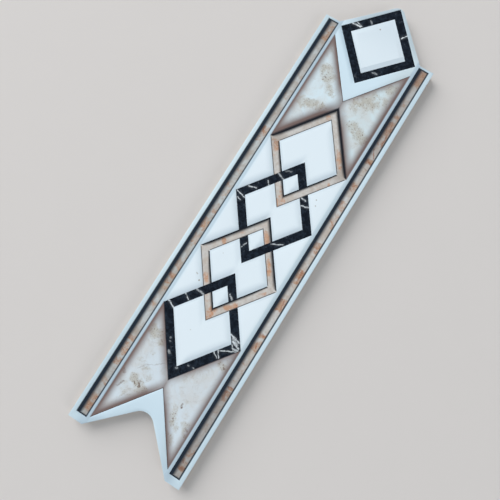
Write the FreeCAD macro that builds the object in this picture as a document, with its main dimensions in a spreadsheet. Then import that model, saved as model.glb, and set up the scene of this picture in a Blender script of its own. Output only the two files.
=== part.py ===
import FreeCAD, Part
import os
import Sketcher

# Driving sizes in millimetres, each written once.
SIZES = [
    ("tileWidth", 100.0, "across the two long edges"),
    ("bodyLength", 378.0, "between the shoulders of the two ends"),
    ("thickness", 9.0, "back to the cushions of the face"),
    ("pointWidth", 75.2, "root of the point, and mouth of the notch that takes it"),
    ("pointHeight", 37.6, "shoulder to the point's corner before rounding"),
    ("tipRadius", 6.0, "rounding of the point"),
    ("notchRadius", 10.0, "rounding at the bottom of the notch"),
    ("edgeRadius", 1.2, "glazed rounding of the face's outer edge"),
    ("reliefDepth", 0.7, "cushions down to the floor of the frames and strips"),
    ("cushionRun", 2.6, "width of the slope from a frame up to a cushion"),
    ("rimRun", 1.2, "width of the slope from a strip up to the rim"),
    ("stripWidth", 8.7, "border strip along each long edge"),
    ("stripInset", 3.7, "long edge to border strip"),
    ("stripNotchEnd", 6.0, "notched end's shoulder to border strip"),
    ("stripPointEnd", 1.7, "pointed end's shoulder to border strip"),
    ("diamondWidth", 69.8, "outside of a diamond frame, across the tile"),
    ("diamondLength", 94.8, "outside of a diamond frame, along the tile"),
    ("diamondPitch", 51.9, "one diamond to the next, along the tile"),
    ("diamondCount", 4, "interlaced diamonds in the row"),
    ("lowestDiamond", 109.8, "notched end's shoulder to the centre of the first diamond"),
    ("squareWidth", 69.0, "outside of the frame on the point, across the tile"),
    ("squareLength", 74.4, "outside of the frame on the point, along the tile"),
    ("squareSetback", 2.6, "pointed end's shoulder back to the centre of that frame"),
    ("bandWidth", 6.8, "arm of a frame, square to its edges"),
    ("keyWidth", 8.0, "keying groove in the back"),
    ("keyDepth", 0.6, "keying groove in the back"),
    ("keyPitch", 15.0, "one keying groove to the next"),
    ("keyCount", 6, "keying grooves across the back"),
    ("keyMargin", 12.0, "notch or shoulder to the end of a keying groove"),
]

doc = FreeCAD.newDocument("BorderTile")
sheet = doc.addObject("Spreadsheet::Sheet", "sizes")
for row, (alias, value, note) in enumerate(SIZES, start=1):
    sheet.set("A%d" % row, alias)
    sheet.set("B%d" % row, str(value))
    sheet.set("C%d" % row, note)
    sheet.setAlias("B%d" % row, alias)
doc.recompute()

# One pressed and glazed piece. Its long axis is Y, measured from the notched end's shoulders.
tile = doc.addObject("PartDesign::Body", "Tile")
tile.Label = "border_tile"
ground = next(plane for plane in tile.Origin.OriginFeatures if plane.Role == "XY_Plane")
along = next(axis for axis in tile.Origin.OriginFeatures if axis.Role == "Y_Axis")
across = next(axis for axis in tile.Origin.OriginFeatures if axis.Role == "X_Axis")


def new_sketch(name, height="0"):
    sketch = tile.newObject("Sketcher::SketchObject", name)
    sketch.AttachmentSupport = [(ground, "")]
    sketch.MapMode = "FlatFace"
    sketch.setExpression("AttachmentOffset.Base.z", height)
    return sketch


# A closed run of straight sides whose corners are expressions, measured from the sketch's origin.
def add_polygon(sketch, corners):
    first = sketch.GeometryCount
    count = len(corners)
    spots = [FreeCAD.Vector(sketch.evalExpression(x), sketch.evalExpression(y), 0) for x, y in corners]
    for index in range(count):
        sketch.addGeometry(Part.LineSegment(spots[index], spots[(index + 1) % count]), False)
    for index in range(count):
        following = first + (index + 1) % count
        sketch.addConstraint(Sketcher.Constraint("Coincident", first + index, 2, following, 1))
    for index, (x, y) in enumerate(corners):
        for kind, size, start in (("DistanceX", x, spots[index].x), ("DistanceY", y, spots[index].y)):
            number = sketch.addConstraint(Sketcher.Constraint(kind, -1, 1, first + index, 1, start))
            sketch.setExpression("Constraints[%d]" % number, size)


def add_rhombus(sketch, half_width, half_length, middle):
    add_polygon(sketch, [
        (half_width, middle),
        ("0", "(%s) + (%s)" % (middle, half_length)),
        ("-(%s)" % half_width, middle),
        ("0", "(%s) - (%s)" % (middle, half_length)),
    ])


# A rhombus frame of even band width: the inner rhombus is the outer one moved in by the band.
def add_frame(sketch, width, length, middle):
    side = "sqrt((%s) ^ 2 + (%s) ^ 2) / 2" % (width, length)
    inner_width = "(%s) / 2 - sizes.bandWidth * %s / ((%s) / 2)" % (width, side, length)
    inner_length = "(%s) / 2 - sizes.bandWidth * %s / ((%s) / 2)" % (length, side, width)
    add_rhombus(sketch, "(%s) / 2" % width, "(%s) / 2" % length, middle)
    add_rhombus(sketch, inner_width, inner_length, middle)


# A band sunk into the face: its sketch is the flat floor, and its walls slope out to the cushions.
def sink(name, sketch, run):
    pocket = tile.newObject("PartDesign::Pocket", name)
    pocket.Profile = sketch
    pocket.Reversed = True
    pocket.setExpression("Length", "2 * sizes.reliefDepth")
    pocket.setExpression("TaperAngle", "atan(%s / sizes.reliefDepth)" % run)
    doc.recompute()
    return pocket


# Names of the edges of a shape that lie where the test says, for a fillet.
def edges_where(shape, test):
    return ["Edge%d" % number for number, edge in enumerate(shape.Edges, start=1) if test(edge)]


def round_edges(name, base, test, radius):
    fillet = tile.newObject("PartDesign::Fillet", name)
    fillet.Base = (base, edges_where(base.Shape, test))
    fillet.setExpression("Radius", radius)
    doc.recompute()
    return fillet


def is_upright_at(edge, x, y):
    box = edge.BoundBox
    flat = max(box.XLength, box.YLength) < 1e-6
    return flat and abs(box.XMin - x) < 1e-6 and abs(box.YMin - y) < 1e-6


# The outline: shoulders, a point at one end and the notch that takes the next tile's point.
outline = new_sketch("Outline")
add_polygon(outline, [
    ("-sizes.tileWidth / 2", "0"),
    ("-sizes.pointWidth / 2", "0"),
    ("0", "sizes.pointHeight"),
    ("sizes.pointWidth / 2", "0"),
    ("sizes.tileWidth / 2", "0"),
    ("sizes.tileWidth / 2", "sizes.bodyLength"),
    ("sizes.pointWidth / 2", "sizes.bodyLength"),
    ("0", "sizes.bodyLength + sizes.pointHeight"),
    ("-sizes.pointWidth / 2", "sizes.bodyLength"),
    ("-sizes.tileWidth / 2", "sizes.bodyLength"),
])
slab = tile.newObject("PartDesign::Pad", "Slab")
slab.Profile = outline
slab.setExpression("Length", "sizes.thickness")
doc.recompute()

notch_bottom = sheet.pointHeight
point_corner = sheet.bodyLength + sheet.pointHeight
notch_round = round_edges("NotchRound", slab, lambda edge: is_upright_at(edge, 0, notch_bottom),
                          "sizes.notchRadius")
tip_round = round_edges("TipRound", notch_round, lambda edge: is_upright_at(edge, 0, point_corner),
                        "sizes.tipRadius")
edge_round = round_edges("EdgeRound", tip_round, lambda edge: edge.BoundBox.ZMin > sheet.thickness - 1e-6,
                         "sizes.edgeRadius")

# The border strips, one along each long edge.
face_floor = "sizes.thickness - sizes.reliefDepth"
strips = new_sketch("StripFloors", face_floor)
for hand in ("-", ""):
    outer = "%s(sizes.tileWidth / 2 - sizes.stripInset)" % hand
    inner = "%s(sizes.tileWidth / 2 - sizes.stripInset - sizes.stripWidth)" % hand
    low = "sizes.stripNotchEnd"
    high = "sizes.bodyLength - sizes.stripPointEnd"
    add_polygon(strips, [(outer, low), (inner, low), (inner, high), (outer, high)])
sink("Strips", strips, "sizes.rimRun")

# The frame on the point.
square = new_sketch("SquareFloor", face_floor)
add_frame(square, "sizes.squareWidth", "sizes.squareLength", "sizes.bodyLength - sizes.squareSetback")
sink("Square", square, "sizes.cushionRun")

# The interlaced diamonds: one frame, repeated up the tile.
diamond = new_sketch("DiamondFloor", face_floor)
add_frame(diamond, "sizes.diamondWidth", "sizes.diamondLength", "sizes.lowestDiamond")
first_diamond = sink("Diamond", diamond, "sizes.cushionRun")
diamonds = tile.newObject("PartDesign::LinearPattern", "Diamonds")
diamonds.Originals = [first_diamond]
diamonds.Direction = (along, [""])
diamonds.setExpression("Length", "sizes.diamondPitch * (sizes.diamondCount - 1)")
diamonds.setExpression("Occurrences", "sizes.diamondCount")
tile.Tip = diamonds
doc.recompute()

# Keying grooves along the back, between the notch and the pointed end's shoulders.
key = new_sketch("KeyGroove")
left = "-sizes.keyPitch * (sizes.keyCount - 1) / 2 - sizes.keyWidth / 2"
right = "-sizes.keyPitch * (sizes.keyCount - 1) / 2 + sizes.keyWidth / 2"
low = "sizes.pointHeight + sizes.keyMargin"
high = "sizes.bodyLength - sizes.keyMargin"
add_polygon(key, [(left, low), (right, low), (right, high), (left, high)])
first_key = tile.newObject("PartDesign::Pocket", "Key")
first_key.Profile = key
first_key.Reversed = True
first_key.setExpression("Length", "sizes.keyDepth")
doc.recompute()
keys = tile.newObject("PartDesign::LinearPattern", "Keys")
keys.Originals = [first_key]
keys.Direction = (across, [""])
keys.setExpression("Length", "sizes.keyPitch * (sizes.keyCount - 1)")
keys.setExpression("Occurrences", "sizes.keyCount")
tile.Tip = keys

# The origin is on the back, under the middle of the whole outline with its rounded point.
point_side = "sqrt((sizes.pointWidth / 2) ^ 2 + sizes.pointHeight ^ 2)"
tip_loss = "sizes.tipRadius * (%s / (sizes.pointWidth / 2) - 1)" % point_side
tile.setExpression("Placement.Base.y", "-(sizes.bodyLength + sizes.pointHeight - %s) / 2" % tip_loss)
doc.recompute()

for item in doc.Objects:
    if "Invalid" in item.State or "Error" in item.State:
        raise RuntimeError("%s did not build: %s" % (item.Name, item.State))
shape = tile.Shape
if shape.isNull() or not shape.isValid() or len(shape.Solids) != 1:
    raise RuntimeError("the tile is not one valid solid")

os.makedirs("parts", exist_ok=True)
shape.exportStep(os.path.join("parts", tile.Label + ".step"))
box = shape.BoundBox
print("%s: %.1f x %.1f x %.1f mm, %.1f cm3, %d faces"
      % (tile.Label, box.XLength, box.YLength, box.ZLength, shape.Volume / 1000, len(shape.Faces)))
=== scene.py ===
from functools import reduce
from math import hypot, radians, sqrt

import bmesh
import bpy
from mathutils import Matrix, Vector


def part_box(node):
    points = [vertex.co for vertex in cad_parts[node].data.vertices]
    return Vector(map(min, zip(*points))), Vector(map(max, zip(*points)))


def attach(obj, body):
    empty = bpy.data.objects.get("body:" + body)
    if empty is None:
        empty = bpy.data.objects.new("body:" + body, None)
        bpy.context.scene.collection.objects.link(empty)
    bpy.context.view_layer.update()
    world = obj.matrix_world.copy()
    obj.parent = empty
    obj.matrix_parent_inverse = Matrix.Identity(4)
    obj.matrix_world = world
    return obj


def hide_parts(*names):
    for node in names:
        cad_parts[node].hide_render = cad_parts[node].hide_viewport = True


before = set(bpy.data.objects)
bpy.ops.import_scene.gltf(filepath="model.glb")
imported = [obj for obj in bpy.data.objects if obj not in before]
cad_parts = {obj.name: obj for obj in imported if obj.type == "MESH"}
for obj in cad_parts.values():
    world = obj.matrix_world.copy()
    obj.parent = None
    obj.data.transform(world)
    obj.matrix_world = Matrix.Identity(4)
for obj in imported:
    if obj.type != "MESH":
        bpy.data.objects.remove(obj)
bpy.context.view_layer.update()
mm = 0.001
lowCorner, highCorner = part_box("border_tile")
print("frame loaded: tile %.1f x %.1f x %.1f mm" % tuple((highCorner - lowCorner) / mm))

# lengths in millimetres; "along" is measured from the notched end's shoulders towards the point
outlineSizes = {
    "pointHeight": 37.6,      # shoulder to the point's corner before rounding
    "tipRadius": 6.0,
    "notchRadius": 10.0,
    "roundSteps": 10,
    "roundReach": 1.06,       # a vertex bevel falls a little short of its arc
    "skirt": 5.4,             # height of the glaze line on the side
    "footBevel": 0.6,         # worn lower edge
}
faceLayout = {
    "stripWidth": 8.7, "stripInset": 3.7, "stripNotchEnd": 6.0, "stripPointEnd": 1.7,
    "diamondWidth": 69.8, "diamondLength": 94.8, "diamondPitch": 51.9,
    "diamondCount": 4, "lowestDiamond": 109.8,
    "squareWidth": 69.0, "squareLength": 74.4, "squareSetback": 2.6,
    "bandWidth": 6.8,         # arm of a frame
    "tipMargin": 1.8,         # white left past the blunt upper corner of the square
    "upperWingNeck": 7.4,     # gap between the two wings' tips and the diamond
    "lowerWingNeck": 7.6,
    "upperWingTop": 366.3,    # outer corner of the wings beside the point
    "lowerWingFoot": 7.8,     # outer corner of the wings beside the notch
}
relief = {
    "depth": 0.7,             # cushion tops down to the floor of frames and strips
    "panelRun": 2.5, "panelRise": 0.4, "squareRun": 3.9,
    "wingRun": 5.5, "wingRise": 0.6, "wingSteps": 4,
    "neckRun": 1.2, "neckSteps": 3,
    "rimRun": 0.6, "rimRise": 0.25,
    "fieldRun": 2.0, "notchFieldFoot": 17.0,
}
backKeys = {"width": 8.0, "depth": 0.6, "pitch": 15.0, "count": 6, "margin": 12.0}
slack = {
    "cut": 1e-7, "merge": 2e-6,            # in metres
    "level": 0.01, "line": 0.005,          # off a level or a line, and still on it
    "midline": 1.0,                        # off the middle line, and still across it
    "flat": radians(0.5), "smooth": radians(35),
    "upward": 0.02,                        # a face's normal points up from here
}

tileHalf = (highCorner.x - lowCorner.x) / mm / 2
tileLength = (highCorner.y - lowCorner.y) / mm
pointHeight = outlineSizes["pointHeight"]
tipLoss = outlineSizes["tipRadius"] * (sqrt(2) - 1)
bodyLength = tileLength - pointHeight + tipLoss
sheetLength = bodyLength + pointHeight
faceFloor = highCorner.z / mm - relief["depth"]

stripOuter = tileHalf - faceLayout["stripInset"]
stripInner = stripOuter - faceLayout["stripWidth"]
stripLow = faceLayout["stripNotchEnd"]
stripHigh = bodyLength - faceLayout["stripPointEnd"]
wingHalf = faceLayout["diamondWidth"] / 2


def rhombusFrame(width, length, middle):  # widths and lengths from the middle to a corner
    outerWidth, outerLength = width / 2, length / 2
    side = hypot(outerWidth, outerLength)
    return {"middle": middle, "outerWidth": outerWidth, "outerLength": outerLength,
            "innerWidth": outerWidth - faceLayout["bandWidth"] * side / outerLength,
            "innerLength": outerLength - faceLayout["bandWidth"] * side / outerWidth,
            "reach": outerWidth * outerLength / side,  # middle to the outer edge of an arm
            "lean": (outerLength / side, outerWidth / side)}  # square to an arm: across, along


diamonds = [rhombusFrame(faceLayout["diamondWidth"], faceLayout["diamondLength"],
                         faceLayout["lowestDiamond"] + index * faceLayout["diamondPitch"])
            for index in range(faceLayout["diamondCount"])]
square = rhombusFrame(faceLayout["squareWidth"], faceLayout["squareLength"],
                      bodyLength - faceLayout["squareSetback"])
rowLow = diamonds[0]["middle"] - diamonds[0]["outerLength"]
rowHigh = diamonds[-1]["middle"] + diamonds[-1]["outerLength"]
rowMiddle = (rowLow + rowHigh) / 2
frameTop = tileLength - faceLayout["tipMargin"]
upperApex = rowHigh + faceLayout["upperWingNeck"]
lowerApex = rowLow - faceLayout["lowerWingNeck"]
upperWingRun = faceLayout["upperWingTop"] - upperApex
lowerWingRun = lowerApex - faceLayout["lowerWingFoot"]

frameZone, panelZone, wingZone, groundZone = range(4)
finishNames = ["whiteGlaze", "blackMarble", "creamMarble", "stripMarble", "wingMarble", "biscuit"]
white, black, cream, strip, wing, biscuit = range(len(finishNames))


# editing helpers; all work on the mesh that is open in edit mode

def place(x, along, height=0.0):
    return (x * mm, lowCorner.y + along * mm, height * mm)


def onTile(spot):  # the other way round: x, along and height
    return spot.x / mm, (spot.y - lowCorner.y) / mm, spot.z / mm


def middleOf(face):
    return onTile(face.calc_center_median())


def openMesh():
    return bmesh.from_edit_mesh(bpy.context.object.data)


def updateMesh():
    bmesh.update_edit_mesh(bpy.context.object.data)


def select(kind, test):  # kind is VERT, EDGE or FACE
    bpy.ops.mesh.select_mode(type=kind)
    bpy.ops.mesh.select_all(action="DESELECT")
    mesh = openMesh()
    for item in {"VERT": mesh.verts, "EDGE": mesh.edges, "FACE": mesh.faces}[kind]:
        if test(item):
            item.select_set(True)
    updateMesh()


def selectCorner(x, along):
    def gap(vert):
        vertX, vertAlong, height = onTile(vert.co)
        return hypot(vertX - x, vertAlong - along)

    nearest = min(gap(vert) for vert in openMesh().verts)
    select("VERT", lambda vert: gap(vert) == nearest)


def everywhere(face):
    return True


def between(half, low, high):
    def test(face):
        x, along, height = middleOf(face)
        return abs(x) < half and low < along < high
    return test


def cut(test, start, finish):
    select("FACE", test)
    run = (finish[0] - start[0], finish[1] - start[1])
    size = hypot(*run)
    bpy.ops.mesh.bisect(plane_co=place(*start), plane_no=(run[1] / size, -run[0] / size, 0),
                        threshold=slack["cut"])


def cutAcross(test, along):
    cut(test, (0, along), (1, along))


def cutAlong(test, x):
    cut(test, (x, 0), (x, 1))


def cutFrame(test, item):
    middle = item["middle"]
    for edge in ("outer", "inner"):
        width, length = item[edge + "Width"], item[edge + "Length"]
        for hand in (-1, 1):
            for end in (-1, 1):
                cut(test, (0, middle + end * length), (hand * width, middle))


def liesOn(edge, start, finish):
    run = (finish[0] - start[0], finish[1] - start[1])
    size = hypot(*run)
    for vert in edge.verts:
        x, along, height = onTile(vert.co)
        offset = (x - start[0], along - start[1])
        reach = (offset[0] * run[0] + offset[1] * run[1]) / size
        aside = abs(offset[0] * run[1] - offset[1] * run[0]) / size
        if aside > slack["line"] or not -slack["line"] <= reach <= size + slack["line"]:
            return False
    return True


def inRhombus(x, along, item, edge="outer"):
    return abs(x) / item[edge + "Width"] + abs(along - item["middle"]) / item[edge + "Length"] < 1


def inFrame(x, along, item):
    return inRhombus(x, along, item) and not inRhombus(x, along, item, "inner")


def isFramed(x, along):
    return any(inRhombus(x, along, item) for item in diamonds + [square])


def finishAt(x, along):
    if stripInner < abs(x) < stripOuter and stripLow < along < stripHigh:
        return strip
    if inFrame(x, along, square):
        return black if along < frameTop else white
    framed = [index for index, item in enumerate(diamonds) if inFrame(x, along, item)]
    if framed:  # on the left the lower diamond passes over, on the right the upper one
        onTop = framed[0] if x < 0 else framed[-1]
        return black if onTop % 2 == 0 else cream
    if isFramed(x, along) or abs(x) > wingHalf:
        return white
    share = abs(x) / wingHalf
    inUpper = diamonds[-1]["middle"] < along < upperApex + upperWingRun * share
    inLower = lowerApex - lowerWingRun * share < along < diamonds[0]["middle"]
    return wing if inUpper or inLower else white


def zoneAt(x, along):
    finish = finishAt(x, along)
    if finish == wing:
        return wingZone
    if finish != white:
        return frameZone
    return panelZone if isFramed(x, along) and along < frameTop else groundZone


def inZone(zone, test=everywhere):
    layer = openMesh().faces.layers.int["zone"]
    return lambda face: face[layer] == zone and test(face)


def noteEdgeDistance(reach):  # on the selected corners, for the glaze that pools along an edge and the painted shade there
    mesh = openMesh()
    distance = mesh.verts.layers.float["edgeDistance"]
    for vert in mesh.verts:
        if vert.select:
            vert[distance] = reach
    updateMesh()


def insetAndLift(run, rise):
    bpy.ops.mesh.inset(thickness=run * mm, depth=0, use_boundary=True, use_even_offset=True)
    bpy.ops.transform.translate(value=(0, 0, rise * mm))


def raiseBevel(test, run, rise, startRun=0.0):
    select("FACE", test)
    insetAndLift(run, rise)
    noteEdgeDistance(startRun + run)


def wingHeight(reach):  # steep beside the frame, level on top
    return relief["wingRise"] * (1 - (1 - reach / relief["wingRun"]) ** 2)


def raiseWing(test, startRun, endRun, steps):
    select("FACE", test)
    stepRun = (endRun - startRun) / steps
    for step in range(steps):
        before = startRun + step * stepRun
        insetAndLift(stepRun, wingHeight(before + stepRun) - wingHeight(before))
        noteEdgeDistance(before + stepRun)


def extrude(rise):
    bpy.ops.mesh.extrude_region_move(TRANSFORM_OT_translate={"value": (0, 0, rise * mm)})


def isOffcut(face):
    x, along, height = middleOf(face)
    inNotch = abs(x) + along < pointHeight
    return inNotch or along > bodyLength and abs(x) + along > sheetLength


def isWingTop(face):
    return middleOf(face)[2] > faceFloor + wingHeight(relief["neckRun"]) - slack["level"]


def isGroundTop(face):
    return middleOf(face)[2] > faceFloor + relief["rimRise"] - slack["level"]


def isField(face):
    x, along, height = middleOf(face)
    return isGroundTop(face) and abs(x) < wingHalf and diamonds[0]["middle"] < along < square["middle"]


def isNotchField(face):
    x, along, height = middleOf(face)
    return isGroundTop(face) and abs(x) < slack["midline"] and along < lowerApex


def isBack(face):
    return middleOf(face)[2] < slack["level"]


# the outline, cut from one sheet at the floor level of the frames
bpy.ops.object.select_all(action="DESELECT")
bpy.ops.mesh.primitive_plane_add(size=1, location=place(0, sheetLength / 2, faceFloor))
tile = bpy.context.object
tile.name = "victorianBorderTile"
tile.data.name = "victorianBorderTile"
tile.scale = (2 * tileHalf * mm, sheetLength * mm, 1)
bpy.ops.object.transform_apply(location=True, rotation=True, scale=True)
bpy.ops.geometry.attribute_add(name="edgeDistance", domain="POINT", data_type="FLOAT")
bpy.ops.geometry.attribute_add(name="zone", domain="FACE", data_type="INT")
bpy.ops.object.mode_set(mode="EDIT")
cutAcross(everywhere, bodyLength)
cutAcross(everywhere, pointHeight)
cutAlong(everywhere, 0)
for hand in (-1, 1):
    cut(between(tileHalf, bodyLength, sheetLength), (hand * pointHeight, bodyLength), (0, sheetLength))
    cut(between(tileHalf, 0, pointHeight), (hand * pointHeight, 0), (0, pointHeight))
select("FACE", isOffcut)
bpy.ops.mesh.delete(type="FACE")
bpy.ops.mesh.select_all(action="SELECT")
bpy.ops.mesh.remove_doubles(threshold=slack["merge"])
bpy.ops.mesh.dissolve_limited(angle_limit=slack["flat"])
for along, radius in ((sheetLength, outlineSizes["tipRadius"]), (pointHeight, outlineSizes["notchRadius"])):
    selectCorner(0, along)
    bpy.ops.mesh.bevel(affect="VERTICES", offset=radius * outlineSizes["roundReach"] * mm,
                       segments=outlineSizes["roundSteps"], profile=0.5)
print("outline cut")

# the lines of the pattern
for hand in (-1, 1):
    for x in (stripOuter, stripInner, wingHalf):
        cutAlong(everywhere, hand * x)
cutAlong(everywhere, 0)
for along in (stripLow, stripHigh, rowLow, rowHigh):
    cutAcross(everywhere, along)
inRow = between(stripInner, rowLow, rowHigh)
pastRow = between(stripInner, rowHigh, sheetLength)
beforeRow = between(stripInner, 0, rowLow)
for item in diamonds:
    cutFrame(inRow, item)
cutFrame(pastRow, square)
cutAcross(pastRow, frameTop)
for hand in (-1, 1):
    cut(pastRow, (0, upperApex), (hand * wingHalf, faceLayout["upperWingTop"]))
    cut(beforeRow, (0, lowerApex), (hand * wingHalf, faceLayout["lowerWingFoot"]))
# corner to corner joins that split the white ground and the square into plain outlines
joins = []
for hand in (-1, 1):
    squareSide = (hand * square["outerWidth"], square["middle"])
    wingTop = (hand * wingHalf, faceLayout["upperWingTop"])
    wingFoot = (hand * wingHalf, faceLayout["lowerWingFoot"])
    joins += [
        ((hand * tileHalf, 0), (hand * stripOuter, stripLow)),
        ((hand * tileHalf, bodyLength), (hand * stripOuter, stripHigh)),
        ((hand * stripInner, stripLow), wingFoot),
        ((hand * stripInner, stripHigh), squareSide),
        (wingTop, squareSide),
        (squareSide, (hand * square["innerWidth"], square["middle"])),
        (wingFoot, (hand * pointHeight, 0)),
        ((hand * wingHalf, diamonds[0]["middle"]), (hand * wingHalf, diamonds[-1]["middle"])),
    ]
for start, finish in joins:
    cut(everywhere, start, finish)
mesh = openMesh()
zones = mesh.faces.layers.int["zone"]
for face in mesh.faces:
    x, along, height = middleOf(face)
    face.material_index = finishAt(x, along)
    face[zones] = zoneAt(x, along)
updateMesh()
for name in finishNames:
    tile.data.materials.append(None)  # filled when the finish is made
bpy.ops.mesh.select_all(action="SELECT")
bpy.ops.mesh.remove_doubles(threshold=slack["merge"])
select("EDGE", lambda edge: any(liesOn(edge, start, finish) for start, finish in joins))
bpy.ops.mesh.mark_seam()
bpy.ops.mesh.select_all(action="SELECT")
bpy.ops.mesh.dissolve_limited(angle_limit=slack["flat"], delimit={"MATERIAL", "SEAM"})
bpy.ops.mesh.mark_seam(clear=True)
print("pattern cut:", len(openMesh().faces), "faces")

# cushions: panels, wings and the rim rise from the floor of the frames
panelSlopes = (
    (between(tileHalf, 0, rowHigh), relief["panelRun"], relief["panelRise"]),
    (between(tileHalf, rowHigh, tileLength), relief["squareRun"], relief["depth"]),
)
for where, run, rise in panelSlopes:
    raiseBevel(inZone(panelZone, where), run, rise)
    bpy.ops.mesh.region_to_loop()  # the crease inside a panel's bevel stays crisp
    bpy.ops.mesh.mark_sharp()
raiseWing(inZone(wingZone), 0.0, relief["neckRun"], relief["neckSteps"])
cutAlong(inZone(wingZone, isWingTop), 0)
for hand in (-1, 1):  # one side at a time past the necks
    raiseWing(inZone(wingZone, lambda face: isWingTop(face) and hand * middleOf(face)[0] > 0),
              relief["neckRun"], relief["wingRun"], relief["wingSteps"])
raiseBevel(inZone(groundZone), relief["rimRun"], relief["rimRise"])
cutAcross(inZone(groundZone, isNotchField), relief["notchFieldFoot"])
for field in (isField, isNotchField):
    raiseBevel(inZone(groundZone, field), relief["fieldRun"], relief["depth"] - relief["rimRise"],
               relief["rimRun"])
print("cushions raised")

# the sides, glazed down to the skirt, and the bare back with its keying grooves
select("EDGE", lambda edge: len(edge.link_faces) == 1)
extrude(outlineSizes["skirt"] - faceFloor)
extrude(outlineSizes["footBevel"] - outlineSizes["skirt"])
bpy.ops.mesh.edge_face_add()
insetAndLift(outlineSizes["footBevel"], -outlineSizes["footBevel"])
firstKey = -backKeys["pitch"] * (backKeys["count"] - 1) / 2
keyLow, keyHigh = pointHeight + backKeys["margin"], bodyLength - backKeys["margin"]


def keyMiddle(x):  # of the groove that is nearest
    number = round((x - firstKey) / backKeys["pitch"])
    return firstKey + min(max(number, 0), backKeys["count"] - 1) * backKeys["pitch"]


def isKeyed(face):  # the length of the back that has the grooves
    return isBack(face) and keyLow < middleOf(face)[1] < keyHigh


def isKey(face):
    x = middleOf(face)[0]
    return isKeyed(face) and abs(x - keyMiddle(x)) < backKeys["width"] / 2


for along in (keyLow, keyHigh):
    cutAcross(isBack, along)
for index in range(backKeys["count"]):
    for side in (-1, 1):
        cutAlong(isKeyed, firstKey + index * backKeys["pitch"] + side * backKeys["width"] / 2)
select("FACE", isKey)
extrude(backKeys["depth"])
for face in openMesh().faces:
    if middleOf(face)[2] < outlineSizes["skirt"]:
        face.material_index = biscuit
updateMesh()
bpy.ops.mesh.select_all(action="SELECT")
bpy.ops.mesh.normals_make_consistent(inside=False)
print("sides and back made")

# the bake map: the face in four lengths, two by two, so that the fine lines keep their width,
# the back beside them and the sides below; size and gap in pixels, scales in pixels for a millimetre
bakeSizes = {"size": 1024, "gap": 6.0, "lengths": 4, "face": 4.4, "back": 1.2, "side": 2.3, "keyTuck": 0.5}
quarter = tileLength / bakeSizes["lengths"]
for index in range(1, bakeSizes["lengths"]):
    cutAcross(lambda face: face.normal.z > slack["upward"], index * quarter)
select("EDGE", lambda edge: len({face.material_index for face in edge.link_faces}) == 2)
bpy.ops.mesh.mark_sharp()
bpy.ops.object.mode_set(mode="OBJECT")
bpy.ops.object.shade_smooth_by_angle(angle=slack["smooth"], keep_sharp_edges=True)
bpy.ops.object.modifier_add(type="WEIGHTED_NORMAL")
tile.modifiers[0].keep_sharp = True
bpy.ops.object.modifier_apply(modifier=tile.modifiers[0].name)
print("tile meshed:", len(tile.data.polygons), "faces")
sideRow = highCorner.z / mm * bakeSizes["side"] + bakeSizes["gap"]
sheetFoot = bakeSizes["gap"] + 3 * sideRow  # above the two long sides and the ends
sheetStep = 2 * tileHalf * bakeSizes["face"] + bakeSizes["gap"]


def inGroove(x, along, height):
    inWidth = abs(x - keyMiddle(x)) < backKeys["width"] / 2 + slack["level"]
    inLength = keyLow - slack["level"] < along < keyHigh + slack["level"]
    return height > backKeys["depth"] / 2 and inWidth and inLength


def bakeSpot(polygon, x, along, height):
    middleX, middleAlong, middleHeight = onTile(polygon.center)
    gap, faceScale, backScale = bakeSizes["gap"], bakeSizes["face"], bakeSizes["back"]
    if polygon.normal.z > slack["upward"]:
        length = int(middleAlong / quarter)
        foot = sheetFoot + length // 2 * (quarter * faceScale + gap)
        return (gap + length % 2 * sheetStep + (x + tileHalf) * faceScale,
                foot + (along - length * quarter) * faceScale)
    if middleHeight < outlineSizes["footBevel"] + slack["level"]:
        if inGroove(x, along, height):  # drawn in, so that the groove's walls get some room
            x += bakeSizes["keyTuck"] if x < keyMiddle(x) else -bakeSizes["keyTuck"]
            along += bakeSizes["keyTuck"] if along < tileLength / 2 else -bakeSizes["keyTuck"]
        return (gap + 2 * sheetStep + (x + tileHalf) * backScale, sheetFoot + along * backScale)
    up = gap + height * bakeSizes["side"]
    if abs(middleX) > tileHalf - slack["level"]:
        return (gap + along * bakeSizes["side"], up + (sideRow if middleX > 0 else 0))
    end = sheetStep if along > tileLength / 2 else 0
    return (gap + end + (x + tileHalf) * faceScale, up + 2 * sideRow)


bakeMap = tile.data.uv_layers.new(name="OFBake")
for polygon in tile.data.polygons:
    for corner in polygon.loop_indices:
        spot = tile.data.vertices[tile.data.loops[corner].vertex_index].co
        across, up = bakeSpot(polygon, *onTile(spot))
        bakeMap.uv[corner].vector = (across / bakeSizes["size"], up / bakeSizes["size"])
print("bake map laid out")


# shading helpers; nodes go into the open tree. In the dictionaries colours are written as on screen,
# a fade is two places and the values there, a noise is scale, detail, roughness and seed,
# a tear is the scale and reach of torn edges, and a mark is x, along, to x, to along, width and strength

def openTree(nodeTree):
    global tree
    tree = nodeTree


def addNode(kind, **settings):
    made = tree.nodes.new("ShaderNode" + kind)
    for name, value in settings.items():
        setattr(made, name, value)
    return made


def feed(socket, value):
    if isinstance(value, bpy.types.NodeSocket):
        tree.links.new(value, socket)
    else:
        socket.default_value = value


def wire(made, values):  # values by the name or the number of a socket
    for socket, value in values.items():
        feed(made.inputs[socket], value)
    return made.outputs


def maths(operation, *values, clamp=False):
    made = addNode("Math", operation=operation, use_clamp=clamp)
    return wire(made, dict(enumerate(values)))[0]


def plus(first, second):
    return maths("ADD", first, second)


def minus(first, second):
    return maths("SUBTRACT", first, second)


def times(*values):
    return reduce(lambda first, second: maths("MULTIPLY", first, second), values)


def most(*values):
    return reduce(lambda first, second: maths("MAXIMUM", first, second), values)


def scaledPlus(value, factor, extra):
    return maths("MULTIPLY_ADD", value, factor, extra)


def sizeOf(value):
    return maths("ABSOLUTE", value)


def rest(share):
    return minus(1.0, share)


def within(value, low, high):
    return times(maths("GREATER_THAN", value, low), maths("LESS_THAN", value, high))


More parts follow.
